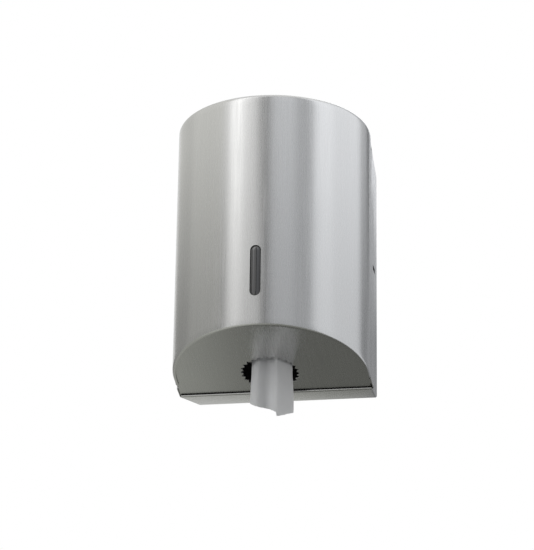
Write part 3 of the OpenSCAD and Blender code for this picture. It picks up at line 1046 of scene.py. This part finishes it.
@dataclass
class Latch:
    """Sprung push button with its hook, in a folded housing."""

    turns: float = 5.0
    mean_r: float = 3.1 * MM
    wire_r: float = 0.4 * MM
    rings: int = 20
    sides: int = 10
    # Share of its length that the spring keeps when the button is pressed
    pressed: float = 0.6

    def spring(self) -> None:
        """Wind the round wire spring between the housing and the hook."""
        low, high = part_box("latch_spring")
        middle_y, middle_z = (low.y + high.y) / 2, (low.z + high.z) / 2
        steps = round(self.turns * self.rings)
        length = high.x - low.x - 2 * self.wire_r
        points = []
        for i in range(steps + 1):
            turn = 2 * math.pi * i / self.rings
            x = low.x + self.wire_r + length * i / steps
            for k in range(self.sides):
                a = 2 * math.pi * k / self.sides
                radius = self.mean_r + self.wire_r * math.cos(a)
                points.append((
                    x + self.wire_r * math.sin(a),
                    middle_y + radius * math.cos(turn),
                    middle_z + radius * math.sin(turn)))
        faces = grid_faces(self.sides, steps + 1, closed=True)
        first_end = range(self.sides)
        last_end = range(steps * self.sides, (steps + 1) * self.sides)
        faces += [tuple(first_end), tuple(reversed(last_end))]
        coil = mesh_object("button_spring", points, faces)
        shade(coil, 70)
        finish_piece(coil, "housing", ["latch_spring"], TURNED_STEEL.material())
        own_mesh(coil)

    def build(self) -> None:
        """Wind the spring and dress the latch's solids."""
        self.spring()
        dress_node("latch_button", BLACK_PLASTIC.material(), 0.4 * MM)
        for node in ("latch_hook", "latch_housing"):
            dress_node(node, INNER_STEEL.material())
        dress_node("hook_rivet", TURNED_STEEL.material())


@dataclass
class Paper:
    """Roll that is drawn from its middle, and the gathered tail that hangs out of the outlet."""

    case: CaseSizes
    core_r: float = 32.5 * MM
    edge: float = 2.0 * MM
    segments: int = 144
    seam_step: float = 0.6 * MM
    tail_thickness: float = 0.3 * MM
    tail_rows: int = 60
    tail_spacing: float = 1.2 * MM
    sheet_width: float = field(init=False)
    # The gathered sheet seen from above, in millimetres from its middle: round the outside from the
    # back left, along the pleated front, and on into the loose inner turn
    plan: tuple[Pair, ...] = (
        (-8.0, 11.0), (-18.0, 11.0), (-25.5, 5.0), (-27.0, -2.0), (-23.0, -9.5), (-17.0, -15.5),
        (-12.0, -14.5), (-5.5, -10.0), (0.0, -9.5), (5.0, -14.0), (9.0, -19.5), (12.5, -18.5),
        (20.5, -11.5), (27.0, -4.0), (26.0, 4.0), (19.0, 11.0), (9.0, 15.0), (-2.0, 14.0), (-10.0, 6.0),
        (-16.0, -1.0), (-12.0, -5.5), (-2.0, -2.5), (8.0, -7.5), (15.0, -3.0), (10.0, 5.0), (1.0, 6.0))
    tail_shift: float = 4.0 * MM
    # Share of the plan's width that the sheet takes in the outlet, and where it hangs free
    gather: Pair = (0.90, 0.96)
    opening_drop: float = 28.0 * MM
    torn_x: float = 9.5 * MM
    torn_step: float = 5.0 * MM
    torn_left: float = math.radians(17)
    torn_right: float = math.radians(6)
    torn_lean: float = math.radians(21.5)
    inner_rise: float = 3.0 * MM
    inner_depth: float = 20.0 * MM
    # The torn edge's fray and the sheet's sway, with their turns in radians from column to column
    fray: float = 0.25 * MM
    fray_turns: Pair = (1.7, 0.6)
    sway: float = 0.5 * MM
    sway_turn: float = 0.35
    sway_sideways: float = 0.4
    sway_height: float = 14.0 * MM
    # Drop below the outlet at which the sway is full
    sway_drop: float = 20.0 * MM
    curve_steps: int = 24

    def __post_init__(self) -> None:
        """Take the sheet's width from the roll's height, because it is wound upright."""
        low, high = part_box("paper_roll")
        self.sheet_width = high.z - low.z

    def roll(self) -> None:
        """Turn the roll with soft edges and the small step where its last turn ends."""
        low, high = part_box("paper_roll")
        middle = ((low.x + high.x) / 2, (low.y + high.y) / 2)
        outer, core, edge = (high.x - low.x) / 2, self.core_r, self.edge
        half_round = 0.3 * edge
        # Each row: its radius, its distance from the roll's end and its share of the seam's step
        rim = [
            (core, edge, 0.0), (core + half_round, half_round, 0.0), (core + edge, 0.0, 0.0),
            (outer - edge, 0.0, 0.5), (outer - half_round, half_round, 1.0), (outer, edge, 1.0)]
        rows = [(radius, low.z + inset, share) for radius, inset, share in rim]
        rows += [(outer, low.z + (high.z - low.z) * share, 1.0) for share in (0.25, 0.5, 0.75)]
        rows += [(radius, high.z - inset, share) for radius, inset, share in reversed(rim)]
        points = []
        for radius, z, share in rows:
            for i in range(self.segments):
                turn = 2 * math.pi * i / self.segments
                drawn = radius - share * self.seam_step * (1 - i / self.segments)
                points.append((middle[0] + drawn * math.cos(turn), middle[1] + drawn * math.sin(turn), z))
        faces = grid_faces(self.segments, len(rows), closed=True)
        start = (len(rows) - 1) * self.segments
        faces += [
            (start + i, start + (i + 1) % self.segments, (i + 1) % self.segments, i)
            for i in range(self.segments)
        ]
        roll = mesh_object("towel_roll", points, faces)
        shade(roll, 50)
        roll.data.materials.append(TOWEL.material())
        roll.data.materials.append(ROLL_END.material(middle))
        for face in roll.data.polygons:
            face.material_index = int(abs(face.normal.z) > 0.9)
        finish_piece(roll, "housing", ["paper_roll"], TOWEL.material())

    def plan_path(self) -> list[Vector]:
        """Draw a smooth line through the gathered sheet's plan.

        Returns:
            Points on the line at an even spacing.
        """
        spots = [Vector(p) * MM for p in self.plan]
        spots = [2 * spots[0] - spots[1]] + spots + [2 * spots[-1] - spots[-2]]
        fine = []
        for a, b, c, d in zip(spots, spots[1:], spots[2:], spots[3:]):
            for i in range(self.curve_steps):
                t = i / self.curve_steps
                fine.append(0.5 * (
                    2 * b + (c - a) * t + (2 * a - 5 * b + 4 * c - d) * t ** 2
                    + (3 * b - a - 3 * c + d) * t ** 3))
        path = [fine[0]]
        for spot in fine:
            if (spot - path[-1]).length >= self.tail_spacing:
                path.append(spot)
        return path

    def torn_end(self, x: float, depth: float) -> float:
        """Height of the torn end above the tail's lowest point.

        Args:
            x: distance to the right of the tail's middle.
            depth: distance behind the tail's front.

        Returns:
            The height, which rises to the back and away from the step.
        """
        height = depth * math.tan(self.torn_lean)
        if depth > self.inner_depth:
            height += self.inner_rise
        if x < self.torn_x:
            return height + self.torn_step + (self.torn_x - x) * math.tan(self.torn_left)
        return height + (x - self.torn_x) * math.tan(self.torn_right)

    def tail(self) -> None:
        """Hang the gathered sheet: pleats that run down, open a little and end in a torn edge."""
        low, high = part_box("paper_tail")
        middle_y = (low.y + high.y) / 2
        path = self.plan_path()
        points = []
        for row in range(self.tail_rows + 1):
            share = row / self.tail_rows
            for i, spot in enumerate(path):
                fray = self.fray * math.sin(self.fray_turns[0] * i) * math.sin(self.fray_turns[1] * i)
                end = low.z + fray + self.torn_end(spot.x, middle_y + spot.y - low.y)
                z = high.z + (end - high.z) * share
                drop = max(0.0, self.case.edge_z - z)
                sway = self.sway * math.sin(self.sway_turn * i + z / self.sway_height)
                sway *= min(1.0, drop / self.sway_drop)
                opened = min(1.0, drop / self.opening_drop)
                grow = self.gather[0] + (self.gather[1] - self.gather[0]) * opened
                x = self.tail_shift + spot.x * grow + self.sway_sideways * sway
                points.append((x, middle_y + spot.y * grow + sway, z))
        tail = mesh_object("towel_tail", points, grid_faces(len(path), self.tail_rows + 1))
        thicken(tail, self.tail_thickness)
        shade(tail, 70)
        finish_piece(tail, "paper", ["paper_tail"], TOWEL.material())

    def build(self) -> None:
        """Build the roll and the tail."""
        self.roll()
        self.tail()


# Tints of the studio's cards, each close to white: a little yellow, blue and green
WARM = "#FFFFFB"
COOL = "#F9FBFF"
MOSS = "#FDFFF6"


@dataclass(frozen=True)
class Card:
    """A curved studio card that shows only in reflections.

    Azimuths are in degrees from the camera's side, positive to the viewer's right.
    """

    name: str
    azimuths: Pair
    levels: Pair
    tint: str = "#FFFFFF"
    distance: float = 1.2
    heights: Pair = (-0.74, 2.2)
    # Heights between which the grey goes from the lower to the upper level
    fade: Pair = (0.33, 0.67)


@dataclass(frozen=True)
class LowCard:
    """A level studio card below the object that shows only in reflections."""

    name: str
    depths: Pair
    levels: Pair
    # Places from left to right between which the grey goes from the first to the second level
    fade: Pair
    tint: str = MOSS
    half_width: float = 2.4
    height: float = -0.75


@dataclass(frozen=True)
class Softbox:
    """A lamp that lights dull surfaces alone and faces the object.

    Its azimuth is in degrees from the camera's side, positive to the viewer's right, and its
    radiance is how bright its face is, where 1 is white.
    """

    name: str
    azimuth: float
    height: float
    distance: float
    size: Pair
    radiance: float


@dataclass
class Studio:
    """Floor, backdrop, lamps, cards and camera."""

    case: CaseSizes
    # The camera's angles in degrees, its distance, and the point it looks at in X and Z
    azimuth: float = 10.25
    elevation: float = -21.32
    roll: float = 0.85
    distance: float = 3.075
    lens_mm: float = 163.6
    target: Pair = (-7.4 * MM, -5.4 * MM)
    floor_z: float = -3.2
    floor_half: float = 40.0
    floor_colour: str = "#F4F4F4"
    # Share of plain white in the floor that is seen, which leaves the rest to its shadow
    floor_glow: float = 0.9
    ambient: str = "#A8A8A8"
    card_steps: int = 16
    cards: tuple[Card, ...] = (
        Card("card_far_left", (-150, -110), (0.35, 0.8), WARM),
        Card("card_left", (-110, -60), (0.45, 0.95), WARM),
        Card("card_strip_left", (-60, -52), (0.3, 1.05)),
        Card("card_strip", (-52, -36), (1.0, 2.0)),
        Card("card_fade", (-36, -20), (0.7, 1.25)),
        Card("card_dark_left", (-20, -13), (0.8, 0.5)),
        Card("card_dark", (-13, -5), (0.1, 0.35)),
        Card("card_front", (-5, 24), (0.6, 1.0), COOL),
        Card("card_front_right", (24, 45), (0.5, 0.65), COOL),
        Card("card_box_left", (45, 70), (1.0, 1.5), COOL),
        Card("card_box", (70, 119), (0.9, 1.3), COOL),
        Card("card_right_edge", (119, 140), (0.3, 0.65), COOL),
        Card("card_right_dark", (140, 156), (0.4, 0.15), COOL),
        Card("card_far_right", (156, 170), (0.25, 1.7), COOL),
    )
    low_cards: tuple[LowCard, ...] = (
        LowCard("card_low_front", (-1.4, -0.3), (0.6, 0.3), (-0.3, 0.05)),
        LowCard("card_low", (-0.3, 0.95), (0.45, 0.15), (-0.3, -0.15)),
        LowCard("card_low_back", (0.95, 3.4), (0.45, 0.25), (-0.45, -0.25)),
    )
    softboxes: tuple[Softbox, ...] = (
        Softbox("softbox_left", -48, 0.7, 1.5, (0.34, 2.0), 1.05),
        Softbox("softbox_fill", -60, 0.1, 1.6, (1.0, 1.4), 1.4),
        Softbox("softbox_right", 81, 0.7, 1.5, (2.0, 2.0), 1.0),
    )

    def camera(self) -> None:
        """Put the camera below and a little to the right, as in the photograph."""
        az, el = math.radians(self.azimuth), math.radians(self.elevation)
        back = Vector((math.sin(az) * math.cos(el), -math.cos(az) * math.cos(el), math.sin(el)))
        data = bpy.data.cameras.new("camera")
        data.sensor_width = 36.0
        data.lens = self.lens_mm
        data.clip_start, data.clip_end = 0.1, 100.0
        camera = bpy.data.objects.new("camera", data)
        bpy.context.scene.collection.objects.link(camera)
        camera.location = Vector((self.target[0], self.case.plan_y, self.target[1])) + back * self.distance
        camera.rotation_mode = "QUATERNION"
        level = (-back).to_track_quat("-Z", "Y")
        camera.rotation_quaternion = Quaternion(back, math.radians(self.roll)) @ level
        bpy.context.scene.camera = camera

    def seen_directly(self, tree: bpy.types.NodeTree) -> bpy.types.NodeSocket:
        """Give 1 for rays from the camera, from reflections and through clear things.

        Args:
            tree: the tree that asks.

        Returns:
            The socket with the answer.
        """
        path = add_node(tree, "ShaderNodeLightPath", {})
        either = add_node(tree, "ShaderNodeMath", {
            0: path.outputs["Is Camera Ray"], 1: path.outputs["Is Glossy Ray"]}, operation="MAXIMUM")
        answer = add_node(tree, "ShaderNodeMath", {
            0: either.outputs[0], 1: path.outputs["Is Transmission Ray"]}, operation="MAXIMUM")
        return answer.outputs[0]

    def world(self) -> None:
        """Make a white backdrop that lights the object as a plain grey room does."""
        world = bpy.data.worlds.new("studio")
        world.use_nodes = True
        tree = world.node_tree
        tree.nodes.clear()
        room = add_node(tree, "ShaderNodeBackground", {"Color": to_linear(self.ambient), "Strength": 1.0})
        white = add_node(tree, "ShaderNodeBackground", {"Color": (1, 1, 1, 1), "Strength": 1.0})
        mix = add_node(tree, "ShaderNodeMixShader", {
            0: self.seen_directly(tree), 1: room.outputs[0], 2: white.outputs[0]})
        add_node(tree, "ShaderNodeOutputWorld", {"Surface": mix.outputs[0]})
        bpy.context.scene.world = world

    def floor(self) -> None:
        """Lay a plain pale floor that keeps the object's shadow."""
        half, z = self.floor_half, self.floor_z
        points = [(x, y, z) for x, y in ((-half, -half), (half, -half), (half, half), (-half, half))]
        floor = mesh_object("floor", points, [(0, 1, 2, 3)])
        material, tree = empty_material("floor_pale_matt")
        matt = add_node(tree, "ShaderNodeBsdfDiffuse", {"Color": to_linear(self.floor_colour)})
        glow = add_node(tree, "ShaderNodeEmission", {"Color": (1, 1, 1, 1), "Strength": 1.0})
        share = add_node(tree, "ShaderNodeMath", {
            0: self.seen_directly(tree), 1: self.floor_glow}, operation="MULTIPLY")
        mix = add_node(tree, "ShaderNodeMixShader", {
            0: share.outputs[0], 1: matt.outputs[0], 2: glow.outputs[0]})
        add_node(tree, "ShaderNodeOutputMaterial", {"Surface": mix.outputs[0]})
        floor.data.materials.append(material)

    def softbox(self, box: Softbox) -> None:
        """Hang one softbox.

        Args:
            box: where it hangs and how bright it is.
        """
        turn = math.radians(box.azimuth + self.azimuth)
        lamp = bpy.data.lights.new(box.name, "AREA")
        lamp.shape = "RECTANGLE"
        lamp.size, lamp.size_y = box.size
        lamp.energy = box.radiance * math.pi * box.size[0] * box.size[1]
        hung = bpy.data.objects.new(box.name, lamp)
        bpy.context.scene.collection.objects.link(hung)
        middle = Vector((0, self.case.plan_y, 0))
        out = Vector((math.sin(turn), -math.cos(turn), 0))
        hung.location = middle + out * box.distance + Vector((0, 0, box.height))
        hung.rotation_mode = "QUATERNION"
        hung.rotation_quaternion = (middle - hung.location).to_track_quat("-Z", "Y")
        hung.visible_camera = False
        hung.visible_glossy = False

    def card(self, card: Card) -> None:
        """Hang one card, with its grey drawn from its lower to its upper level.

        Args:
            card: where it hangs and how bright it is.
        """
        steps = self.card_steps
        first, last = (math.radians(a + self.azimuth) for a in card.azimuths)
        points = []
        for z in card.heights:
            for i in range(steps + 1):
                turn = first + (last - first) * i / steps
                x, y = math.sin(turn) * card.distance, math.cos(turn) * card.distance
                points.append((x, self.case.plan_y - y, z))
        sheet = mesh_object(card.name, points, grid_faces(steps + 1, 2))
        self.dress_card(sheet, "Z", card.fade, card.levels, card.tint)

    def low_card(self, card: LowCard) -> None:
        """Lay one grey card low under the object, for the base and the lower edges to mirror.

        Args:
            card: where it lies and how bright it is.
        """
        half, z = card.half_width, card.height
        near, far = card.depths
        points = [(x, y, z) for x, y in ((-half, near), (half, near), (half, far), (-half, far))]
        sheet = mesh_object(card.name, points, [(0, 1, 2, 3)])
        self.dress_card(sheet, "X", card.fade, card.levels, card.tint)

    def dress_card(self, sheet: bpy.types.Object, axis: str, fade: Pair,
                   levels: Pair, tint: str) -> None:
        """Make a card glow in reflections alone.

        Args:
            sheet: the card.
            axis: the axis that its grey changes along.
            fade: where on that axis the change starts and ends.
            levels: how bright it is before and after, where 1 is white.
            tint: its colour.
        """
        material, tree = empty_material(sheet.name)
        place = add_node(tree, "ShaderNodeTexCoord", {}).outputs["Object"]
        axes = add_node(tree, "ShaderNodeSeparateXYZ", {0: place})
        level = add_node(tree, "ShaderNodeMapRange", {
            "Value": axes.outputs[axis], "From Min": fade[0], "From Max": fade[1],
            "To Min": levels[0], "To Max": levels[1]})
        glow = add_node(tree, "ShaderNodeEmission", {
            "Color": to_linear(tint), "Strength": level.outputs[0]})
        add_node(tree, "ShaderNodeOutputMaterial", {"Surface": glow.outputs[0]})
        sheet.data.materials.append(material)
        sheet.visible_camera = False
        sheet.visible_diffuse = False
        sheet.visible_transmission = False
        sheet.visible_shadow = False

    def build(self) -> None:
        """Set up the whole studio."""
        bpy.context.scene.view_settings.view_transform = "Standard"
        self.world()
        self.floor()
        for card in self.cards:
            self.card(card)
        for card in self.low_cards:
            self.low_card(card)
        for box in self.softboxes:
            self.softbox(box)
        self.camera()


def main() -> None:
    """Build the dispenser and its studio."""
    logging.basicConfig(level=logging.INFO, format="%(name)s: %(message)s")
    case = CaseSizes.from_frame()
    Studio(case).build()
    for part in (Tray(case), Base(case), Cover(case), Latch(), Paper(case)):
        part.build()


if __name__ == "__main__":
    main()
